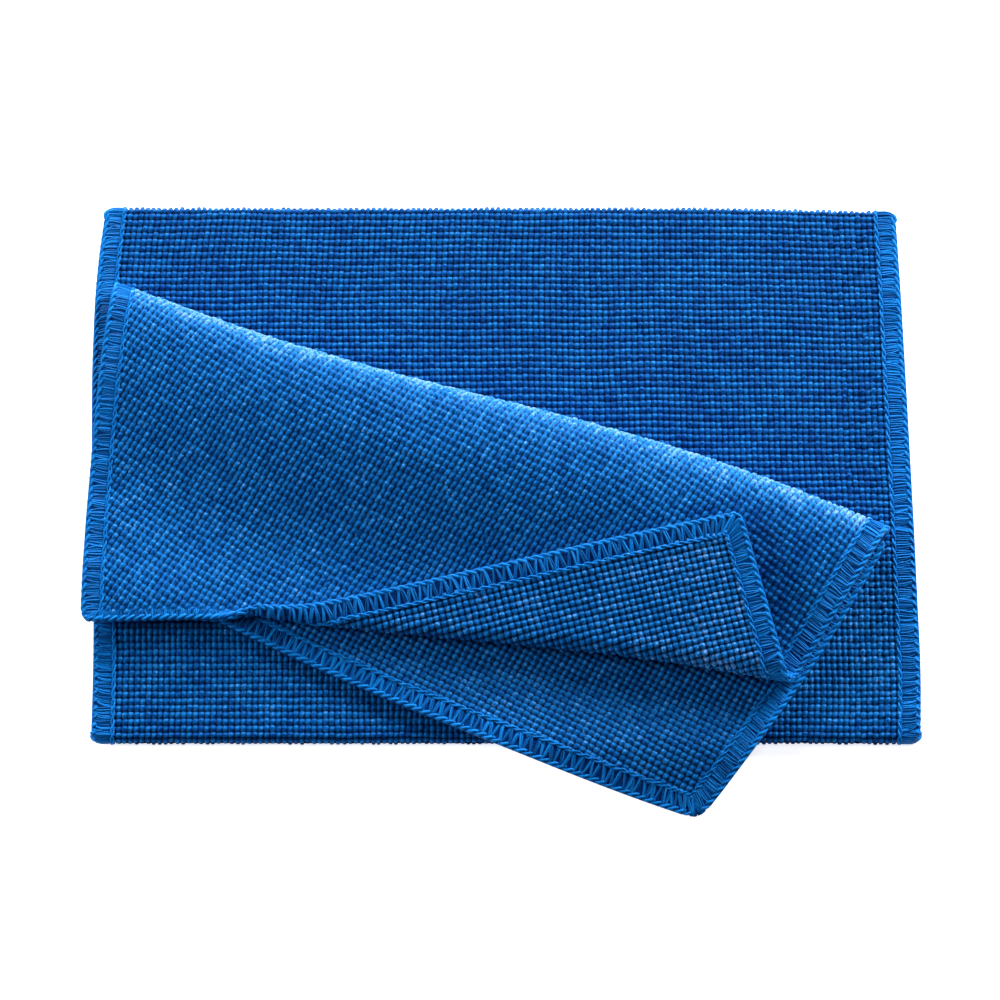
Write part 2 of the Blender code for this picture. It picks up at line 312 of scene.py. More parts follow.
def resting_level(x, y):
    """The top layer lies on the layer beneath, and on the package near its free left corner."""
    hem = UNDER_RIGHT - UNDER_LEFT
    ahead = (hem[0] * (UNDER_LEFT[1] - y) - hem[1] * (UNDER_LEFT[0] - x)) / np.hypot(*hem)
    settled = eased(ahead / CORNER_SETTLE) * eased((TWIST[0] - x) / CORNER_REACH)
    return ON_LAYER - (ON_LAYER - ON_PACK) * settled


def curl_radius(past_twist):
    """The curl opens out from the twist to the right hem."""
    return CURL_TIGHT + (CURL_WIDE - CURL_TIGHT) * eased(past_twist / ROLL_LENGTH)


def roll_swell(past_twist):
    """The curled fold is a shallow arc between its two ends."""
    share = np.clip(past_twist / ROLL_LENGTH, 0.0, 1.0)
    return ROLL_BOW * 4.0 * share * (1.0 - share)


def free_hem_line(a):
    """Where the free hem runs, left of the twist."""
    return FREE_LEFT[1] + (TWIST[1] - FREE_LEFT[1]) * (a - FREE_LEFT[0]) / (TWIST[0] - FREE_LEFT[0])


def curl_place(a, b):
    """How far a flat point lies along the curl from the twist, and how far it is wound in."""
    past_twist = travel(TWIST, ROLL_WAY, a, b)
    past_roll = travel(TWIST, ROLL_OUT, a, b) - roll_swell(past_twist)
    in_curl = past_roll + curl_radius(past_twist) + HALF
    in_lift = HEM_LIFT - (b - free_hem_line(a))
    return past_twist, np.where(past_twist > 0.0, in_curl, np.minimum(in_curl, in_lift))


def hem_raise(a, b):
    """The free hem stands a little off the package near its left corner."""
    from_hem = b - free_hem_line(a)
    return HEM_RAISE * eased(1.0 - from_hem / RAISE_REACH) * eased((TWIST[0] - a) / CORNER_REACH)


def upper_surface(a, b):
    """Ridge, top layer and curl, from flat coordinates that equal the plan of the open top layer.

    Past the ridge line the cloth turns over a half circle.  Past the curl's line it winds up
    and back: first an arc, then straight on at a small rise.
    """
    run = travel(RIDGE_LEFT, RIDGE_WAY, a, b)
    out = travel(RIDGE_LEFT, RIDGE_OUT, a, b)
    radius = ridge_radius(run)
    snake = RIDGE_SNAKE * np.sin(2 * math.pi * np.clip(run / RIDGE_LENGTH, 0.0, 1.0))

    past_twist, wound = curl_place(a, b)
    wound = np.maximum(wound, 0.0)
    bend = curl_radius(past_twist) / np.maximum(eased(1.0 + past_twist / CURL_START), 1e-3)
    angle = np.minimum(wound / bend, CURL_TURN)
    straight = wound - angle * bend
    forward = bend * np.sin(angle) + straight * np.cos(angle)
    lift = bend * (1.0 - np.cos(angle)) + straight * np.sin(angle)

    turn = np.clip(-out / radius, 0.0, math.pi / 2)
    tucked = radius * (1.0 - np.cos(turn)) - out - turn * radius
    rise = arch_rise(run)
    arched, below, crest_in = ridge_arch(out, rise)
    inward = np.where(out >= 0.0, arched, tucked)
    shift = inward - out + snake
    x = a + shift * RIDGE_OUT[0] + (forward - wound) * ROLL_OUT[0]
    y = b + shift * RIDGE_OUT[1] + (forward - wound) * ROLL_OUT[1]

    rearmost = ON_PACK + radius
    crest = rearmost + rise
    floor = resting_level(x - forward * ROLL_OUT[0], y - forward * ROLL_OUT[1])
    loft = 1.0 - eased((inward - crest_in - wound) / LOFT_REACH)
    above = floor + (crest - floor) * loft + lift + hem_raise(a, b) - below
    z = np.where(out >= 0.0, above, rearmost - radius * np.sin(turn))
    return np.stack([x, y, z + waves(a, b, UPPER_WAVES) * eased(out / WAVES_START)], axis=-1)


# %% The layer beneath: nearly flat, riding over the package's front fold
def under_surface(a, b):
    """The layer beneath.  It lies on the package, rides up over the front fold and droops."""
    ride = EDGE_LIFT * eased(1.0 - np.abs(b - PACK_FRONT) / EDGE_REACH)
    hang = DROOP * eased((PACK_FRONT - b) / DROOP_REACH)
    return np.stack([a, b, ON_PACK + ride - hang + waves(a, b, UNDER_WAVES)], axis=-1)


def normals(surface, a, b, step=0.2):
    """Unit normals, from the cross product of the surface's slopes along a and b."""
    here = surface(a, b)
    normal = np.cross(surface(a + step, b) - here, surface(a, b + step) - here)
    return here, normal / np.linalg.norm(normal, axis=-1, keepdims=True)


# %% Where the design sits in the frame
lower_low, lower_high = (np.array(corner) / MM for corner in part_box("lower_cloth"))
side_line = np.linspace(PACK_FRONT, PACK_REAR, 400)
SHIFT = np.array([
    lower_low[0] - between(PACK_SIDES, side_line, 1).min(),
    lower_high[1] - PACK_REAR,
    lower_low[2],
])
print("design moved by", SHIFT.round(3), "mm")

# %% [markdown]
# ## Edges and hems, laid out flat
#
# Each hem follows an edge of the flat cloth.  An edge is a densely sampled curve with the
# direction that points into the cloth, so a stitch can be placed by three numbers: how far
# along the edge, how far in from it, and how high above the middle surface.

# %% Edge curves
FAN_REACH = 14.0


def turned_in(way, inward_left):
    """Unit directions into the cloth, a quarter turn from a path's."""
    way = way / np.linalg.norm(way, axis=1, keepdims=True)
    return np.stack([-way[:, 1], way[:, 0]], axis=1) * (1.0 if inward_left else -1.0)


def edge_curve(points, inward_left=True, cuts=(0.0, 0.0)):
    """A path sampled by length: returns a function from length to place and inward direction.

    cuts are how much shorter the hem's inner side is at its two ends, where it meets the next
    hem.  Over the last stretch lengths are squeezed to suit, so strands fan round the corner.
    """
    points = np.asarray(points, dtype=float)
    steps = np.linalg.norm(np.diff(points, axis=0), axis=1)
    at = np.concatenate([[0.0], np.cumsum(steps)])
    turned = turned_in(np.gradient(points, at, axis=0), inward_left)
    columns = np.concatenate([points, turned], axis=1)

    def read(s, d):
        share = np.clip(d / HEM_WIDTH, 0.0, 1.0)
        for end, sign, cut in ((0.0, 1.0, cuts[0]), (at[-1], -1.0, cuts[1])):
            left = sign * (s - end)
            squeezed = cut * share + left * (1.0 - cut * share / FAN_REACH)
            s = np.where(left < FAN_REACH, end + sign * squeezed, s)
        return [np.interp(s, at, column) for column in columns.T]

    return read, float(at[-1])


def corner_cut(first_in, second_in):
    """The hem's width times the tangent of half the angle between two inward directions."""
    return HEM_WIDTH * math.tan(math.acos(float(first_in @ second_in)) / 2)


def line_between(start, end, count=200):
    """Evenly spaced points on a straight line."""
    share = np.linspace(0.0, 1.0, count)[:, None]
    return start + share * (end - start)


def bowed(start, end, bow, direction, count=200):
    """A line that swells sideways by bow in its middle, as a parabola."""
    share = np.linspace(0.0, 1.0, count)[:, None]
    return start + share * (end - start) + bow * 4.0 * share * (1.0 - share) * direction


def softened(first, corner, last, reach=26.0, count=60):
    """Two lines joined by a smooth bend that starts reach before the corner."""
    a = corner + along(corner, first)[1] * reach
    c = corner + along(corner, last)[1] * reach
    t = np.linspace(0.0, 1.0, count)[:, None]
    bend = (1 - t) ** 2 * a + 2 * t * (1 - t) * corner + t ** 2 * c
    return np.concatenate([line_between(first, a, 80)[:-1], bend, line_between(c, last, 160)[1:]])


def mirrored_in_ridge(way):
    """A direction on the layer beneath, as it runs on the flat cloth."""
    return way - 2.0 * (way @ RIDGE_OUT) * RIDGE_OUT


left_way = along(FREE_LEFT, RIDGE_LEFT)[1]
tip_turn = RIDGE_RIGHT + RIDGE_OUT * float(ridge_radius(RIDGE_LENGTH))
left_turn = RIDGE_LEFT + RIDGE_OUT * float(ridge_radius(0.0))
left_wrap = mirrored_in_ridge(along(left_turn, UNDER_LEFT)[1])
under_right_way = along(tip_turn, UNDER_RIGHT)[1]
under_front_way = along(UNDER_LEFT, UNDER_RIGHT)[1]
right_wrap = mirrored_in_ridge(under_right_way)
left_edge = np.concatenate([
    bowed(FREE_LEFT, RIDGE_LEFT, LEFT_HEM_BOW, -to_the_right(left_way))[:-1],
    line_between(RIDGE_LEFT, RIDGE_LEFT + left_wrap * HEM_WRAP, 20),
])
free_edge = softened(FREE_LEFT, TWIST, FREE_RIGHT_FLAT)
right_edge = np.concatenate([
    line_between(RIDGE_RIGHT + right_wrap * HEM_WRAP, RIDGE_RIGHT, 20)[:-1],
    line_between(RIDGE_RIGHT, FREE_RIGHT_FLAT),
])
under_right_edge = bowed(tip_turn, UNDER_RIGHT, UNDER_HEM_BOW, -to_the_right(under_right_way))
under_front_edge = bowed(UNDER_LEFT, UNDER_RIGHT, UNDER_FRONT_BOW, to_the_right(under_front_way))


# %% Distances from the edges, and rounded corners
def inset_from(points, a, b, inward_left=True):
    """Distance into the cloth from an edge, measured square to its nearest sample."""
    points = np.asarray(points, dtype=float)[::4]
    turned = turned_in(np.gradient(points, axis=0), inward_left)
    off = np.stack([a, b], axis=-1)[..., None, :] - points
    nearest = np.argmin((off * off).sum(axis=-1), axis=-1)
    off = np.take_along_axis(off, nearest[..., None, None], axis=-2)[..., 0, :]
    return (off * turned[nearest]).sum(axis=-1)


def rounded(surface, corners):
    """The surface with the flat cloth's sharp corners pulled in to arcs.

    A corner is its place and the two inward directions of its edges.  Where both distances from
    the edges are under the radius, a point outside the arc is moved to it.
    """
    def read(a, b):
        for place, first, second, radius in corners:
            r1, r2 = (radius - travel(place, way, a, b) for way in (first, second))
            far = np.hypot(r1, r2)
            squeeze = np.where((r1 > 0) & (r2 > 0) & (far > radius), radius / np.maximum(far, 1e-9), 1.0)
            m1, m2 = r1 * (1 - squeeze), r2 * (1 - squeeze)
            cross = first[0] * second[1] - first[1] * second[0]
            a = a + (m1 * second[1] - m2 * first[1]) / cross
            b = b + (m2 * first[0] - m1 * second[0]) / cross
        return surface(a, b)

    return read


CORNER_ROUND = 4.2
UNDER_CORNER_ROUND = 5.0
left_in = to_the_right(left_way)
front_left_in = -to_the_right(along(FREE_LEFT, TWIST)[1])
free_in = -to_the_right(along(TWIST, FREE_RIGHT_FLAT)[1])
right_in = to_the_right(RIGHT_HEM_WAY)
under_front_in = -to_the_right(along(under_front_edge[-12], UNDER_RIGHT)[1])
under_right_in = to_the_right(along(under_right_edge[-12], UNDER_RIGHT)[1])
upper_rounded = rounded(upper_surface, [
    (FREE_LEFT, left_in, front_left_in, CORNER_ROUND),
    (FREE_RIGHT_FLAT, free_in, right_in, CORNER_ROUND),
])
under_rounded = rounded(under_surface, [
    (UNDER_RIGHT, under_front_in, under_right_in, UNDER_CORNER_ROUND),
])
print("edges: left", len(left_edge), "free", len(free_edge), "points")

# %% [markdown]
# ## The pearl knit
#
# The face of the cloth is a grid of small round loops, about 2.2 by 2.7 mm, standing about a
# millimetre above the grooves between them.  That is too deep for a bump map: it shows in every
# outline and casts shadows.  So each loop is real geometry.  A patch is a lattice of loops over
# the flat cloth, with three points a loop each way: one in the groove and two on the loop.
# Smooth shading rounds the loop, and a bump adds its yarn.

# %% Sizes of the knit
LOOP_TOP = HALF + 0.12
GROOVE = 0.26
KNOT_JITTER = 0.28
SLIDE = 0.11
WANDER = 0.35
LOOP_SAMPLES = (0.0, 0.27, 0.73)
KNIT_START = HEM_WIDTH - 1.3
COARSE_TOP = HALF - 0.15


class Patch:
    """Points, quads and per-point values of a stretch of surface, ready to be joined."""

    def __init__(self, points, quads, uv, tone, joins=(0.0, 0.0)):
        self.points, self.quads, self.uv = points, quads, uv
        self.values = np.column_stack([tone, np.broadcast_to(joins, (len(points), 2))])


def knit_patch(surface, lattice, keep, coarse=0, side=1, seed=0, saddles=(0.14, 0.03), snags=(),
               tone_and_painted_light_at=None):
    """A lattice of loops over the part of a surface that keep accepts.

    lattice is (origin, angle in degrees, loop width, loop height, counts back and on both ways).
    keep takes the flat place of each loop's centre.  side is 1 for the face on the normal's side
    and -1 for the reverse.  saddles are the relative heights where a loop meets its neighbours
    in its row and in its column.  A coarse patch has no relief: each of its quads spans that
    many loops each way.  The last argument gives how much paler the loops are painted at a flat
    place, a face's tone that for most faces carries painted light.
    """
    origin, degrees, width, height, u_range, v_range = lattice
    way = np.array([math.cos(math.radians(degrees)), math.sin(math.radians(degrees))])
    up = np.array([-way[1], way[0]])
    parts = 1 if coarse else 3
    step = max(coarse, 1)
    inside = np.array(LOOP_SAMPLES[:parts])
    u, v = (np.append((np.arange(*r, step)[:, None] + inside).ravel(), r[1]) for r in (u_range, v_range))
    uu, vv = np.meshgrid(u, v, indexing="ij")
    loops = (u_range[1] - u_range[0], v_range[1] - v_range[0])
    rng = np.random.default_rng(seed)

    sway = WANDER * unevenness(uu * width, vv * height, 19.0, seed + 1)
    lift = WANDER * unevenness(uu * width, vv * height, 23.0, seed + 2)
    a, b = (origin[i] + (uu * width + sway) * way[i] + (vv * height + lift) * up[i] for i in (0, 1))

    mid_u, mid_v = ((at[:-parts:parts] + at[parts::parts]) / 2 for at in (u, v))
    cu, cv = np.meshgrid(mid_u * width, mid_v * height, indexing="ij")
    kept = keep(*(origin[i] + cu * way[i] + cv * up[i] for i in (0, 1)))

    rough = np.ones(loops)
    for column, reach in snags:
        rough += np.exp(-(((np.arange(*u_range) - column) / reach) ** 2))[:, None]
    level = 1.0 + KNOT_JITTER * rough * rng.uniform(-1.0, 0.5, loops)
    tone = rng.uniform(-1.0, 1.0, loops)

    if not coarse:
        in_u, in_v = (np.arange(len(at)) % parts > 0 for at in (u, v))
        loop_u, loop_v = (np.minimum(np.arange(len(at)) // parts, count - 1)
                          for at, count in zip((u, v), loops))
        on_loop = in_u[:, None] & in_v
        next_row = in_u[:, None] & ~in_v
        next_column = ~in_u[:, None] & in_v
        own = level[loop_u][:, loop_v]
        relief = np.select([on_loop, next_column, next_row], [own, saddles[0], saddles[1]], 0.0)
        most = SLIDE * rough[loop_u][:, loop_v]
        slide, slip = (most * rng.uniform(-1, 1, loops)[loop_u][:, loop_v] for _ in "uv")
        a = a + np.where(on_loop, slide * way[0] * width + slip * up[0] * height, 0.0)
        b = b + np.where(on_loop, slide * way[1] * width + slip * up[1] * height, 0.0)
        high = GROOVE + (LOOP_TOP - GROOVE) * relief
        shade = tone[loop_u][:, loop_v]
    else:
        high = np.full(uu.shape, COARSE_TOP)
        shade = np.zeros(uu.shape)
    # Painted light joins each loop's random tone here.
    if tone_and_painted_light_at:
        shade = shade + tone_and_painted_light_at(a, b)

    here, normal = normals(surface, a, b)
    points = (here + normal * (high * side)[..., None]).reshape(-1, 3)
    index = np.arange(len(points)).reshape(uu.shape)
    quads = np.stack([index[:-1, :-1], index[1:, :-1], index[1:, 1:], index[:-1, 1:]], axis=-1)
    quads = quads[np.repeat(np.repeat(kept, parts, axis=0), parts, axis=1)]
    if side < 0:
        quads = quads[:, ::-1]
    used, renumbered = np.unique(quads, return_inverse=True)
    uv = np.stack([uu, vv], axis=-1).reshape(-1, 2)[used]
    tone = shade.reshape(-1)[used]
    return Patch(points[used], renumbered.reshape(-1, 4), uv, tone, 2.0 * np.array(saddles))


def add_object(name, data):
    """An object of a mesh, lamp or camera, put in the scene."""
    item = bpy.data.objects.new(name, data)
    bpy.context.scene.collection.objects.link(item)
    return item


def make_piece(name, patches, material):
    """One mesh object from patches, placed in the frame, with no point below the table."""
    starts = np.cumsum([0] + [len(p.points) for p in patches[:-1]])
    quads = np.concatenate([p.quads + start for p, start in zip(patches, starts)])
    points, uv, values = (np.concatenate([getattr(p, part) for p in patches])
                          for part in ("points", "uv", "values"))
    points[:, 2] = np.maximum(points[:, 2], 0.0)
    mesh = bpy.data.meshes.new(name)
    mesh.vertices.add(len(points))
    mesh.vertices.foreach_set("co", ((points + SHIFT) * MM).astype(np.float32).ravel())
    mesh.loops.add(quads.size)
    mesh.loops.foreach_set("vertex_index", quads.astype(np.int32).ravel())
    mesh.polygons.add(len(quads))
    mesh.polygons.foreach_set("loop_start", np.arange(0, quads.size, 4, dtype=np.int32))
    mesh.uv_layers.new(name="knit").uv.foreach_set("vector", uv[quads.ravel()].astype(np.float32).ravel())
    for column, value_name in enumerate(("tone", "row_join", "column_join")):
        attribute = mesh.attributes.new(value_name, "FLOAT", "POINT")
        attribute.data.foreach_set("value", values[:, column].astype(np.float32))
    mesh.update(calc_edges=True)
    mesh.validate()
    mesh.shade_smooth()
    mesh.materials.append(material)
    print(f"{name}: {2 * len(quads)} triangles")
    return add_object(name, mesh)


# %% [markdown]
# ## Shader maths as plain expressions
#
# A node tree is easier to read as a formula.  `Value` wraps a socket, and the usual operators on
# it add the Math nodes.

# %% A socket that can be added and multiplied
class Value:
    """A number socket in a node tree, with arithmetic that adds Math nodes."""

    def __init__(self, tree, socket):
        self.tree, self.socket = tree, socket

    def math(self, operation, *others):
        return node(self.tree, "ShaderNodeMath", {"operation": operation}, [self, *others])

    def __add__(self, other):
        return self.math("ADD", other)

    __radd__ = __add__

    def __sub__(self, other):
        return self.math("SUBTRACT", other)

    def __rsub__(self, other):
        return node(self.tree, "ShaderNodeMath", {"operation": "SUBTRACT"}, [other, self])

    def __mul__(self, other):
        return self.math("MULTIPLY", other)

    __rmul__ = __mul__

    def __pow__(self, other):
        return self.math("POWER", other)


def node(tree, kind, settings=None, inputs=None, output=0):
    """Adds a node: its settings first, then its sockets, by place or by name."""
    made = tree.nodes.new(kind)
    for name, setting in (settings or {}).items():
        setattr(made, name, setting)
    pairs = enumerate(inputs) if isinstance(inputs, (list, tuple)) else (inputs or {}).items()
    for key, given in pairs:
        if isinstance(given, Value):
            tree.links.new(given.socket, made.inputs[key])
        else:
            made.inputs[key].default_value = given
    return Value(tree, made.outputs[output])


def mixed(tree, factor, first, second, blend="MIX"):
    """A colour between two, or the product of two where blend says so."""
    settings = {"data_type": "RGBA", "blend_type": blend, "clamp_factor": False}
    return node(tree, "ShaderNodeMix", settings, {0: factor, 6: first, 7: second}, output=2)


# %% [markdown]
# ## Dyed microfibre
#
# Microfibre is a fine, matt yarn with a soft sheen.  The loops are bright blue, the grooves
# between them painted nearly navy: partly the packed ground yarn, partly painted shade, as
# little light gets down there.
# The pattern follows the cloth through its own UV map, one unit to a loop.

# %% Colours and the knit's material
LOOP_BLUE = (0.0006, 0.042, 0.245, 1.0)
LOOP_PALE = (0.0060, 0.170, 0.540, 1.0)
# A whitish blue for painted glints on the palest yarn.
LOOP_PAINTED_GLINT = (0.3000, 0.430, 0.820, 1.0)
GROOVE_NAVY_AND_SHADE = (0.0002, 0.004, 0.028, 1.0)
THREAD_BLUE = (0.0030, 0.138, 0.460, 1.0)
# The threads' dark end: darker strands, and the painted shade of the band beneath them.
THREAD_DARK_AND_SHADE = (0.0004, 0.015, 0.112, 1.0)
SHINE_TINT = (0.10, 0.48, 1.0, 1.0)
SHEEN_TINT = (0.06, 0.45, 1.0, 1.0)


def new_material(name, finish):
    """A material with its tree and its Principled shader, its sockets set by name."""
    material = bpy.data.materials.new(name)
    material.use_nodes = True
    tree = material.node_tree
    shader = tree.nodes["Principled BSDF"]
    for socket, value in finish.items():
        shader.inputs[socket].default_value = value
    return material, tree, shader


def yarn_finish(roughness, specular, sheen):
    """A matt yarn whose shine and sheen both take the dye's colour."""
    return {
        "Roughness": roughness, "Specular IOR Level": specular, "Specular Tint": SHINE_TINT,
        "Sheen Weight": sheen, "Sheen Roughness": 0.5, "Sheen Tint": SHEEN_TINT,
    }


def noise(tree, scale, **inputs):
    """Noise fixed to the cloth, with two levels of detail."""
    place = node(tree, "ShaderNodeTexCoord", output=3)
    return node(tree, "ShaderNodeTexNoise", None, {"Vector": place, "Scale": scale, "Detail": 2.0, **inputs})


def point_value(tree, name):
    """A value that the mesh holds at each point."""
    return node(tree, "ShaderNodeAttribute", {"attribute_name": name}, output=2)


def dress(tree, shader, colour, strength, distance, height):
    """Gives a shader its colour and its bump."""
    tree.links.new(colour.socket, shader.inputs["Base Color"])
    bump = node(tree, "ShaderNodeBump", None,
                {"Strength": strength, "Distance": distance, "Height": height})
    tree.links.new(bump.socket, shader.inputs["Normal"])


def knit_material(name):
    """Loops and grooves from the UV map, with painted shade in the grooves; tone from loop to loop,
    with the painted light it carries; fibre noise, painted glints and fine bump.
    """
    material, tree, shader = new_material(name, yarn_finish(roughness=0.5, specular=0.07, sheen=0.14))
    uv = node(tree, "ShaderNodeUVMap", {"uv_map": "knit"})
    split = node(tree, "ShaderNodeSeparateXYZ", None, [uv])
    across = Value(tree, split.socket.node.outputs[0])
    down = Value(tree, split.socket.node.outputs[1])
    row = across.math("FRACT") - 0.5
    column = down.math("FRACT") - 0.5
    slanted = row - column * 0.18
    row_open = 1 - point_value(tree, "row_join")
    column_open = 1 - point_value(tree, "column_join")
    in_row = (slanted * 2).math("ABSOLUTE") ** 2.4
    in_column = (column * 2).math("ABSOLUTE") ** 2.4
    reach = in_row * row_open + in_column * column_open
    dome = (1 - reach * 0.84).math("MAXIMUM", 0.0) ** 0.6

    fibre = noise(tree, 1050.0, Roughness=0.6)
    patchy = noise(tree, 60.0)
    # The tone attribute holds each loop's random tone and the painted light that the tone functions add.
    tone = point_value(tree, "tone")

    bright = (tone * 0.26 + (fibre - 0.5) * 2.3 + (patchy - 0.5) * 0.4 + 0.40).math("MINIMUM", 1.7)
    blue = mixed(tree, bright.math("MAXIMUM", 0.0), LOOP_BLUE, LOOP_PALE)
    # Painted glints: where the yarn is palest it is painted toward a whitish blue, standing in for sheen
    # highlights.
    loop = mixed(tree, ((bright - 1.0) * 0.9).math("MAXIMUM", 0.0), blue, LOOP_PAINTED_GLINT)
    # Painted shade: the grooves are painted near navy, partly the packed ground yarn, partly the shade that
    # falls down there.
    colour = mixed(tree, (dome ** 2.1).math("MINIMUM", 1.0), GROOVE_NAVY_AND_SHADE, loop)
    dress(tree, shader, colour, 0.55, 0.0005, dome * 0.6 + fibre * 0.35)
    return material


def thread_material(name):
    """Polyester overlock thread: a little smoother than the knit; the band between the strands is painted
    dark as painted shade.
    """
    material, tree, shader = new_material(name, yarn_finish(roughness=0.42, specular=0.08, sheen=0.15))
    fibre = noise(tree, 2200.0)
    bright = (point_value(tree, "tone") + (fibre - 0.5) * 0.9).math("MINIMUM", 1.3).math("MAXIMUM", 0.0)
    dress(tree, shader, mixed(tree, bright, THREAD_DARK_AND_SHADE, THREAD_BLUE), 0.35, 0.0002, fibre)
    return material


knit_blue = knit_material("pearl_knit_blue")
thread_blue = thread_material("overlock_thread_blue")

# %% [markdown]
# ## The lower cloth
#
# Its rows run straight across the package and its columns from fold to fold.  Where the upper
# cloth covers it, and underneath, one quad to two loops each way is enough.

# %% Lower cloth
LOWER_COLUMNS = 140
LOWER_LOOP = PACK_WIDTH / LOWER_COLUMNS
LOWER_ROW = 2.62
b_end_front = FRONT_AT - HALF_TURN - (TUCK_MEET - TUCK_SPACE / 2 - FRONT_AT)
b_end_rear = REAR_AT + HALF_TURN + (REAR_AT - TUCK_MEET - TUCK_SPACE / 2)
rows_front = math.ceil(b_end_front / LOWER_ROW)
rows_rear = math.floor(b_end_rear / LOWER_ROW)
lower_lattice = ((0.0, 0.0), 0.0, LOWER_LOOP, LOWER_ROW, (0, LOWER_COLUMNS), (rows_front, rows_rear))
SHOWS_PAST_FOLD = HALF_TURN * 0.75
# Painted light on the lower cloth: from this share of its depth the loops are painted paler toward the
# front, more so on the right, fading out at the front fold.
FRONT_PAINT_FROM = 0.46
FRONT_PAINT_FADE = 0.24
FOLD_PAINT_FADE = 9.0
FRONT_PAINTED_LIGHT = 0.60
RIGHT_PAINTED_LIGHT = 0.65
COVER_MARGIN = 9.0
RIGHT_MARGIN = 13.0


def covered(x, y):
    """Whether the upper cloth hides this place, seen from above."""
    run = travel(RIDGE_LEFT, RIDGE_WAY, x, y)
    out = travel(RIDGE_LEFT, RIDGE_OUT, x, y)
    behind_right = travel(RIDGE_RIGHT, right_in, x, y)
    behind_front = travel(TWIST, -ROLL_OUT, x, y)
    above_left = y - FREE_LEFT[1]
    inside = (np.minimum(run, out) > COVER_MARGIN) & (behind_right > RIGHT_MARGIN)
    return inside & (np.minimum(behind_front, above_left) > COVER_MARGIN)


def lower_inside(a, b):
    """The whole sheet between its side hems."""
    return (a > KNIT_START) & (a < PACK_WIDTH - KNIT_START)


def lower_shows(a, b):
    """The outer face that can be seen: the top between the hems and round both folds."""
    on_top = (b > FRONT_AT - SHOWS_PAST_FOLD) & (b < REAR_AT + SHOWS_PAST_FOLD)
    return on_top & lower_inside(a, b) & ~covered(a - PACK_WIDTH / 2, b)


def lower_hidden(a, b):
    """The rest of the outer face."""
    four = [lower_shows(a + i * LOWER_LOOP / 2, b + j * LOWER_ROW / 2) for i in (-1, 1) for j in (-1, 1)]
    return lower_inside(a, b) & ~np.all(four, axis=0)


def lower_painted_light(a, b):
    """Painted light: the loops are painted paler toward the front, more so on the right, for light the lamps
    don't bring.
    """
    depth = (b - FRONT_AT) / (REAR_AT - FRONT_AT)
    front = eased((FRONT_PAINT_FROM - depth) / FRONT_PAINT_FADE) * eased((b - FRONT_AT) / FOLD_PAINT_FADE)
    return front * (FRONT_PAINTED_LIGHT + RIGHT_PAINTED_LIGHT * a / PACK_WIDTH)


lower_knit = make_piece("lower_knit", [
    knit_patch(lower_surface, lower_lattice, lower_shows, seed=100, snags=((133, 1.5), (129, 0.8)),
               tone_and_painted_light_at=lower_painted_light),
    knit_patch(lower_surface, lower_lattice, lower_hidden, coarse=2, seed=100),
    knit_patch(lower_surface, lower_lattice, lower_inside, coarse=2, side=-1, seed=100),
], knit_blue)

# %% [markdown]
# ## The upper cloth
#
# Its top face has its own lattice, turned on the slant, and so has the reverse that shows on
# the curl and on the layer beneath.

# %% Upper cloth: top face, curl and layer beneath
TOP_ANGLE = -31.5
FACE_TONE = 0.9
CURL_TONE = 1.3
# Painted light on the curl: past this share of its length the reverse is painted paler still.
CURL_PAINTED_LIGHT = 2.6
CURL_PAINT_FROM = 0.57
UNDER_TONE = 1.05
# Painted light on the top face: a painted sheen over the ridge that fades out round its back, and painted
# shade in the hollow beyond the curl.
RIDGE_PAINTED_SHEEN = 2.9
RIDGE_SHEEN_FADE = 17.0
BACK_SHEEN_END = -12.0
BACK_SHEEN_FADE = 7.0
HOLLOW_PAINTED_SHADE = -1.1
HOLLOW_SHADE_FROM = 0.75
HOLLOW_SHADE_FADE = 13.0

# where the shown parts of the faces end, from the ridge, from the curl and from the left
BACK_SHOWN = -9.0
BACK_END = -22.0
CURL_SHOWN = 14.0
CURL_BEFORE = -5.0
UNDER_FROM = 5.0
UNDER_GAP = 1.0
top_lattice = (RIDGE_LEFT, TOP_ANGLE, 2.18, 2.72, (-30, 150), (-80, 50))
curl_lattice = (TWIST, TOP_ANGLE + 1.5, 2.32, 2.42, (-12, 100), (-36, 60))
under_lattice = (UNDER_RIGHT, -28.6, 2.38, 2.30, (-125, 12), (-8, 75))


def upper_bits(a, b, free_hem=HEM_WIDTH):
    """Distance in from the hems, from the ridge line, and into the curl."""
    sides = np.minimum(inset_from(left_edge, a, b, False), inset_from(right_edge, a, b, False))
    inset = np.minimum(sides, inset_from(free_edge, a, b) + HEM_WIDTH - free_hem)
    return inset, travel(RIDGE_LEFT, RIDGE_OUT, a, b), curl_place(a, b)[1]


def top_shows(a, b):
    """The outer face from the back of the ridge to a little way into the curl."""
    inset, out, wound = upper_bits(a, b, NARROW_HEM)
    return (inset > KNIT_START) & (out > BACK_SHOWN) & (wound < CURL_SHOWN)


def top_rest(a, b):
    """The outer face inside the curl and beneath the ridge."""
    inset, out, _ = upper_bits(a, b, NARROW_HEM)
    return (inset > KNIT_START) & (out > BACK_END) & ~top_shows(a, b)


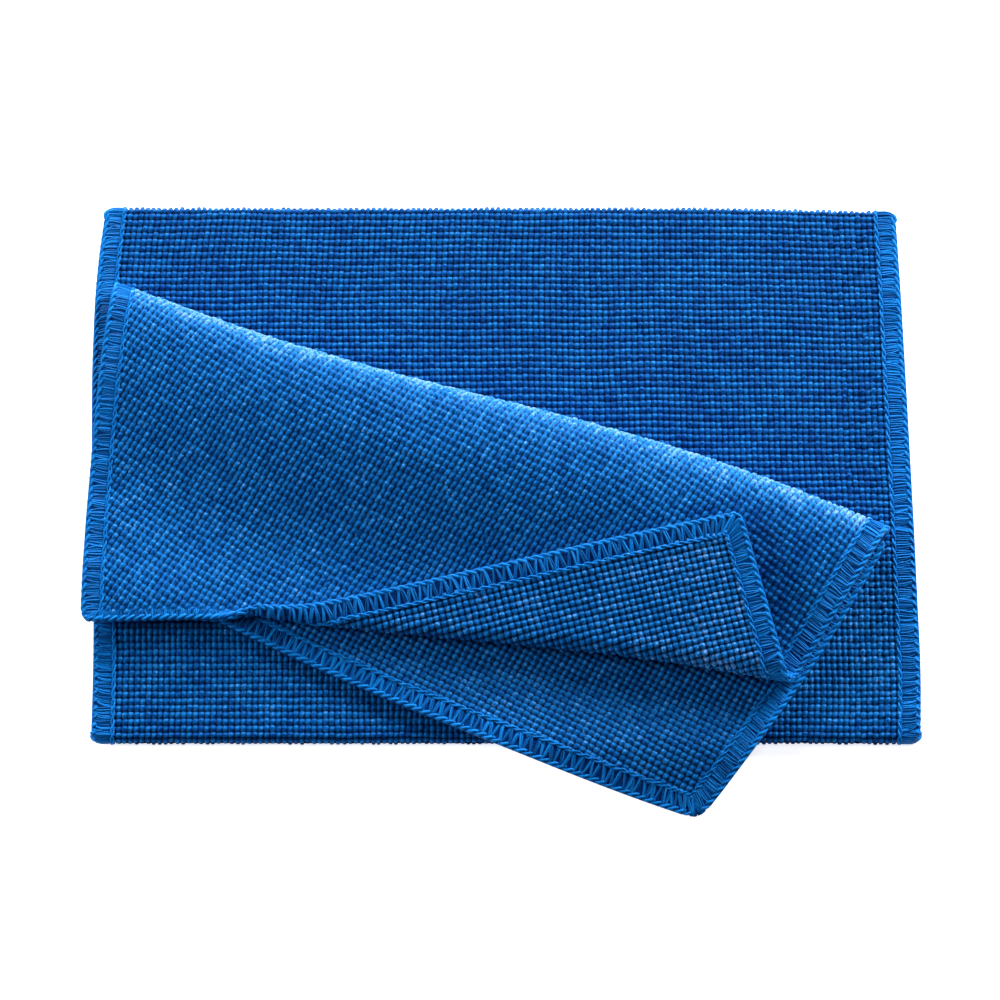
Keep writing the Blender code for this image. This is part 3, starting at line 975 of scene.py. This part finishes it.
def top_tone_and_painted_light(a, b):
    """The top face's tone with painted light: a painted sheen over the ridge, fading out round its back, and
    painted shade deeper in the hollow beyond the curl.
    """
    out = travel(RIDGE_LEFT, RIDGE_OUT, a, b)
    run = travel(RIDGE_LEFT, RIDGE_WAY, a, b)
    from_hem = inset_from(right_edge, a, b, False) - HEM_WIDTH
    hollow_shade = eased((run - HOLLOW_SHADE_FROM * RIDGE_LENGTH) / HOLLOW_SHADE_FADE) * eased(from_hem / HOLLOW_SHADE_FADE)
    hollow_shade = hollow_shade * eased(out / HOLLOW_SHADE_FADE - 1.0)
    ridge_sheen = eased(1.0 - out / RIDGE_SHEEN_FADE) * eased((out - BACK_SHEEN_END) / BACK_SHEEN_FADE)
    return FACE_TONE + RIDGE_PAINTED_SHEEN * ridge_sheen + HOLLOW_PAINTED_SHADE * hollow_shade


def curl_tone_and_painted_light(a, b):
    """The reverse is paler, and is painted paler still where the curl opens out: painted light."""
    opened = np.clip(curl_place(a, b)[0] / ROLL_LENGTH - CURL_PAINT_FROM, 0.0, 1.0)
    return CURL_TONE + CURL_PAINTED_LIGHT * opened


def under_tone(a, b):
    """The layer beneath, between the two."""
    return UNDER_TONE


def curl_shows(a, b):
    """The reverse from just before the curl to the free hem."""
    inset, out, wound = upper_bits(a, b)
    return (inset > KNIT_START) & (wound > CURL_BEFORE)


def curl_rest(a, b):
    """The reverse of the top layer and of the ridge."""
    inset, out, wound = upper_bits(a, b)
    return (inset > KNIT_START) & (out > BACK_END) & (wound <= CURL_BEFORE)


def under_bits(a, b):
    """Distance in from its hems, and how far behind the curl's line and the ridge's."""
    inset = np.minimum(inset_from(under_front_edge, a, b), inset_from(under_right_edge, a, b, False))
    behind_roll = travel(TWIST, -ROLL_OUT, a, b)
    out = travel(RIDGE_LEFT, RIDGE_OUT, a, b)
    return inset, behind_roll, out


def under_shows(a, b):
    """The face that lies open in front of the curl."""
    inset, behind_roll, out = under_bits(a, b)
    return (inset > KNIT_START) & (behind_roll < CURL_SHOWN)


def under_rest(a, b):
    """The face that the top layer hides."""
    return under_whole(a, b) & (under_bits(a, b)[1] >= CURL_SHOWN)


def under_whole(a, b):
    """The reverse of the layer beneath."""
    inset, behind_roll, out = under_bits(a, b)
    left = inset_from(line_between(UNDER_LEFT, RIDGE_LEFT), a, b, False)
    return (inset > KNIT_START) & (out > UNDER_FROM) & (left > UNDER_GAP)


upper_knit = make_piece("upper_knit", [
    knit_patch(upper_rounded, top_lattice, top_shows, seed=200, saddles=(0.03, 0.34),
               snags=((60, 0.8), (104, 0.8)), tone_and_painted_light_at=top_tone_and_painted_light),
    knit_patch(upper_rounded, top_lattice, top_rest, coarse=1, seed=200, tone_and_painted_light_at=top_tone_and_painted_light),
    knit_patch(upper_rounded, curl_lattice, curl_shows, side=-1, seed=300,
               snags=((34, 1.0), (52, 0.9), (66, 1.1)), tone_and_painted_light_at=curl_tone_and_painted_light),
    knit_patch(upper_rounded, top_lattice, curl_rest, coarse=1, side=-1, seed=300),
    knit_patch(under_rounded, under_lattice, under_shows, seed=400, saddles=(0.12, 0.14),
               snags=((-40, 0.9),), tone_and_painted_light_at=under_tone),
    knit_patch(under_rounded, under_lattice, under_rest, coarse=1, seed=400),
    knit_patch(under_rounded, under_lattice, under_whole, coarse=1, side=-1, seed=400),
], knit_blue)

# %% [markdown]
# ## Overlocked hems
#
# The raw edge is wrapped by an overlock stitch.  Strands run in from the edge in fans, a plait
# of two looper threads rides on the edge, and a chain of slanted links holds the inner side.
# Every strand is a thin tube with four sides, placed in hem coordinates and carried onto the
# folded cloth by the surface's function.

# %% Tubes and the hem
# One face's stitches: the stitch's length, the hem's width, a strand's radius, where the strands
# of a stitch start at the edge and end inside, as shares of its length, how far they part
# between, how pale the band beneath them is painted, kept dark as painted shade beneath the
# strands, and whether a chain holds their inner ends.
CLOSE_FAN = {
    "stitch": 4.6, "width": HEM_WIDTH, "radius": 0.36, "bulge": 0.08, "band_shade": 0.25, "chain": True,
    "outer": np.linspace(-0.26, 0.26, 8), "inner": np.linspace(-0.50, 0.50, 8),
}
NARROW_FAN = {**CLOSE_FAN, "width": NARROW_HEM, "band_shade": 0.3, "chain": False}
ZIGZAG = {
    "stitch": 3.9, "width": HEM_WIDTH, "radius": 0.46, "bulge": 0.0, "band_shade": 0.10, "chain": True,
    "outer": np.array([-0.12, -0.03, 0.03, 0.12]), "inner": np.array([-0.53, -0.34, 0.34, 0.53]),
}
BAND = ((0.2, -0.75), (-0.25, -0.4), (-0.35, 0.0), (-0.25, 0.4), (0.2, 0.75), (1.6, 0.86), (4.0, 0.9),
        (6.4, 0.82), (7.5, 0.5), (7.9, 0.0), (7.5, -0.5), (6.4, -0.82), (4.0, -0.9), (1.6, -0.86))

# A twist's distance in from the edge, its height, its sway and rise, its pitch and its radius.
PLAIT = (0.80, 0.55, 0.62, 0.42, 6.2, 0.66)
CHAIN = (7.4, 1.12, 0.52, 0.28, 7.0, 0.40)
END_START = 3.0


def tubes(paths, ups, radius, tone, sides=4):
    """Closed tubes along many paths at once: rings square to each path, and a cap at each end.

    paths and ups are arrays of (tube, point, xyz), ups being the directions rings start from.
    """
    way = np.gradient(paths, axis=1)
    way /= np.linalg.norm(way, axis=-1, keepdims=True)
    across = np.cross(way, ups)
    across /= np.linalg.norm(across, axis=-1, keepdims=True)
    up = np.cross(across, way)
    turn = (np.arange(sides) + 0.5) * 2 * math.pi / sides
    ring = across[:, :, None] * np.cos(turn)[:, None] + up[:, :, None] * np.sin(turn)[:, None]
    points = paths[:, :, None] + ring * radius
    count, length = paths.shape[:2]
    index = np.arange(count * length * sides).reshape(count, length, sides)
    onward = np.roll(index, -1, axis=2)
    walls = np.stack([index[:, :-1], index[:, 1:], onward[:, 1:], onward[:, :-1]], axis=-1).reshape(-1, 4)
    caps = np.concatenate([index[:, 0, :], index[:, -1, ::-1]]).reshape(-1, 4)
    tones = np.broadcast_to(np.reshape(tone, (-1, 1, 1)), index.shape).reshape(-1)
    return Patch(points.reshape(-1, 3), np.concatenate([walls, caps]), np.zeros((index.size, 2)), tones)


def on_hem(surface, edge, s, d, h):
    """From hem coordinates to space: along the edge, in from it, and above the middle surface."""
    a, b, inward_a, inward_b = edge(s, d)
    here, normal = normals(surface, a + inward_a * d, b + inward_b * d)
    return here + normal * h[..., None], normal


def hem_band(surface, edge, start, end, sides):
    """The wrapped edge beneath the strands: a flattened tube that follows the edge.

    Where a face's stitches are narrow, the tube is thinned so that the knit runs on over it.
    """
    s = np.linspace(start, end, max(int((end - start) / 1.6), 4))
    ring = np.array(BAND)
    ss, _ = np.meshgrid(s, np.arange(len(ring)), indexing="ij")
    d = np.broadcast_to(ring[:, 0], ss.shape)
    knit_over = (ring[:, 1] > 0.0) & (ring[:, 0] > sides[1]["width"])
    h = np.broadcast_to(np.where(knit_over, 0.1, ring[:, 1]), ss.shape)
    points, _ = on_hem(surface, edge, ss, d, h)
    index = np.arange(ss.size).reshape(ss.shape)
    onward = np.roll(index, -1, axis=1)
    walls = np.stack([index[:-1], onward[:-1], onward[1:], index[1:]], axis=-1).reshape(-1, 4)
    first, last = np.split(index[[0, -1]], 2, axis=1)
    last = last[:, ::-1]
    caps = np.stack([first[:, :-1], last[:, :-1], last[:, 1:], first[:, 1:]], axis=-1)
    # The band is painted dark: painted shade beneath the strands.
    tones = {side: fan["band_shade"] for side, fan in sides.items()}
    tone = np.where(h > 0.0, tones.get(1, 0.0), tones.get(-1, 0.0)).ravel()
    uv = np.zeros((ss.size, 2))
    return Patch(points.reshape(-1, 3), np.concatenate([walls, caps[0], caps[1, :, ::-1]]), uv, tone)


def hem_strands(surface, edge, start, end, side, fan, seed):
    """Strands across the hem, stitch by stitch, each from the edge to the inner side.

    Strands of a stitch swing together by a random slant, and part half way by a sine.
    """
    rng = np.random.default_rng(seed)
    stitch = fan["stitch"]
    strands = len(fan["outer"])
    count = max(int((end - start) / stitch), 1)
    at = start + (np.arange(count)[:, None] + 0.5) * (end - start) / count
    slant = rng.uniform(-0.14, 0.14, (2, count, 1))
    jitter = rng.uniform(-0.05, 0.05, (3, count, strands))
    inner = at + (fan["inner"] + slant[0] + jitter[0]) * stitch
    outer = at + (fan["outer"] + slant[1] + jitter[1]) * stitch
    share = np.linspace(0.0, 1.0, 6)
    parted = (fan["bulge"] * 2 * fan["inner"] + jitter[2]) * stitch
    s = outer[..., None] + (inner - outer)[..., None] * share + parted[..., None] * np.sin(math.pi * share)
    d = np.broadcast_to(0.35 + (fan["width"] - 0.75) * share, s.shape)
    crown = np.array([0.62, 0.96, 1.02, 1.03, 0.98, 0.62])
    h = np.broadcast_to(crown, s.shape) + rng.uniform(-0.20, 0.14, (count, strands, 1))
    shape = (count * strands, len(share))
    points, normal = on_hem(surface, edge, s.reshape(shape), d.reshape(shape), h.reshape(shape) * side)
    tone = rng.uniform(0.25, 1.15, count * strands)
    return tubes(points, normal, fan["radius"], tone)


def hem_twist(surface, edge, start, end, side, inset, height, sway, rise, pitch, radius):
    """Two threads twisted together along the hem, the second half a turn behind the first."""
    s = np.arange(start, end, 0.62)
    phase = 2 * math.pi * s / pitch
    lag = np.array([0.0, math.pi])[:, None]
    d = inset + sway * np.sin(phase + lag)
    h = side * (height + rise * np.cos(phase + lag))
    points, normal = on_hem(surface, edge, np.broadcast_to(s, d.shape), d, h)
    return tubes(points, normal, radius, np.array([1.15, 0.9]))


def hem(surface, edge_points, inward_left, sides, seed, cuts=(0.0, 0.0), start=0.0):
    """Band, strands, edge plait and inner chain of one hem.  sides maps a face to its strands."""
    edge, length = edge_curve(edge_points, inward_left, cuts)
    end = length - start
    patches = [hem_band(surface, edge, start, end, sides)]
    for side, fan in sides.items():
        patches.append(hem_strands(surface, edge, start, end, side, fan, seed + side))
        patches.append(hem_twist(surface, edge, start, end, side, *PLAIT))
        if fan["chain"]:
            patches.append(hem_twist(surface, edge, start, end, side, *CHAIN))
    return patches


# %% Hems of both cloths
side_b = np.arange(b_end_front, b_end_rear, 1.0)
left_side, right_side = (np.stack([np.full(len(side_b), a), side_b], axis=1) for a in (0.0, PACK_WIDTH))
side_a = np.arange(0.0, PACK_WIDTH + 0.5, 1.0)
front_end, rear_end = (np.stack([side_a, np.full(len(side_a), b)], axis=1)
                       for b in (b_end_front, b_end_rear))
lower_hems = [
    make_piece(name, hem(lower_surface, edge, turned, {1: CLOSE_FAN}, seed, start=start), thread_blue)
    for name, edge, turned, seed, start in (
        ("lower_hem_left", left_side, False, 500, 0.0),
        ("lower_hem_right", right_side, True, 510, 0.0),
        ("lower_hem_front_end", front_end, True, 570, END_START),
        ("lower_hem_rear_end", rear_end, False, 580, END_START),
    )
]
left_cut = corner_cut(left_in, front_left_in)
tip_cut = corner_cut(free_in, right_in)
under_cut = corner_cut(under_front_in, under_right_in)
outer, both = {1: CLOSE_FAN}, {1: CLOSE_FAN, -1: CLOSE_FAN}
free_faces, front_face = {1: NARROW_FAN, -1: ZIGZAG}, {1: ZIGZAG}
upper_hems = [
    make_piece(name, hem(surface, edge, turned, faces, seed, cuts), thread_blue)
    for name, surface, edge, turned, faces, seed, cuts in (
        ("upper_hem_left", upper_rounded, left_edge, False, outer, 520, (0.0, 0.0)),
        ("upper_hem_free", upper_rounded, free_edge, True, free_faces, 530, (left_cut, tip_cut)),
        ("upper_hem_right", upper_rounded, right_edge, False, both, 540, (0.0, tip_cut)),
        ("upper_hem_under_front", under_rounded, under_front_edge, True, front_face, 550, (0.0, under_cut)),
        ("upper_hem_under_right", under_rounded, under_right_edge, False, outer, 560, (0.0, under_cut)),
    )
]

# %% [markdown]
# ## Riding the body and replacing the solids
#
# Every piece rides the one body.  The two knits take the places of the two plain solids, and the
# lower sheet's flat size is worked out.

# %% Riding and replacing
for piece in [lower_knit, *lower_hems]:
    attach(piece, "root")
for piece in [upper_knit, *upper_hems]:
    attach(piece, "root")
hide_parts("lower_cloth")
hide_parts("upper_cloth")
lower_length = 2 * (REAR_AT - FRONT_AT) - TUCK_SPACE + 2 * math.pi * FOLD_TURN
lower_flat = (round(PACK_WIDTH * MM, 3), round(lower_length * MM, 3))
print("lower sheet, flat:", lower_flat)

# %% [markdown]
# ## Floor, light and camera
#
# A white table, three soft lights that stand low behind, behind on the right and on the left,
# and a faint one overhead.  Light that rakes the cloth from behind picks out ridge and loops.

# %% Floor
FLOOR_SIZE = 30.0
FLOOR_DROP = 0.0002
FLOOR_GLOW = 0.85
FLOOR_WHITE = (0.93, 0.93, 0.93, 1.0)

corners = np.array([(-1, -1, 0), (1, -1, 0), (1, 1, 0), (-1, 1, 0)], dtype=float) * FLOOR_SIZE / 2
mesh = bpy.data.meshes.new("floor")
mesh.from_pydata((corners - (0, 0, FLOOR_DROP)).tolist(), [], [(0, 1, 2, 3)])
mesh.materials.append(new_material("floor_white", {
    "Base Color": FLOOR_WHITE, "Roughness": 0.9,
    "Emission Color": FLOOR_WHITE, "Emission Strength": FLOOR_GLOW,
})[0])
add_object("floor", mesh)


# %% Lights
def facing(back):
    """Euler angles that lay a lamp's or camera's back along a direction."""
    right = np.cross((0.0, 0.0, 1.0), back)
    right /= np.linalg.norm(right)
    return Matrix(np.stack([right, np.cross(back, right), back], axis=1).tolist()).to_euler()


centre = (np.array(cad_box[0]) + np.array(cad_box[1])) / 2
for name, place, size, power in (
    ("low_key_behind", (-0.25, 1.80, 0.50), (1.2, 0.5), 60.0),
    ("right_rear", (1.3, 1.15, 0.75), (0.8, 0.8), 80.0),
    ("overhead", (0.0, 0.1, 1.9), (1.0, 1.0), 5.0),
    ("left", (-1.75, 0.1, 0.75), (0.8, 0.8), 33.0),
):
    light = bpy.data.lights.new(name, "AREA")
    light.shape = "RECTANGLE"
    light.size, light.size_y = size
    light.energy = power
    lamp = add_object(name, light)
    lamp.location = place
    aim = centre - np.array(place)
    lamp.rotation_euler = facing(-aim / np.linalg.norm(aim))
world = bpy.data.worlds.new("studio")
bpy.context.scene.world = world
world.use_nodes = True
background = world.node_tree.nodes["Background"].inputs
background["Color"].default_value = (1.0, 1.0, 1.0, 1.0)
background["Strength"].default_value = 0.05
bpy.context.scene.view_settings.view_transform = "Standard"

# %% Camera
CAMERA_UP = math.radians(71.0)
CAMERA_AWAY = 1.5
LOOK_AT = (np.array([-2.2, 0.0, 5.0]) + SHIFT) * MM
away = np.array([0.0, -math.cos(CAMERA_UP), math.sin(CAMERA_UP)])
lens = bpy.data.cameras.new("camera")
lens.sensor_width = 36.0
lens.lens = 145.8
lens.clip_end = 20.0
camera = add_object("camera", lens)
camera.location = LOOK_AT + away * CAMERA_AWAY
camera.rotation_euler = facing(away)
bpy.context.scene.camera = camera
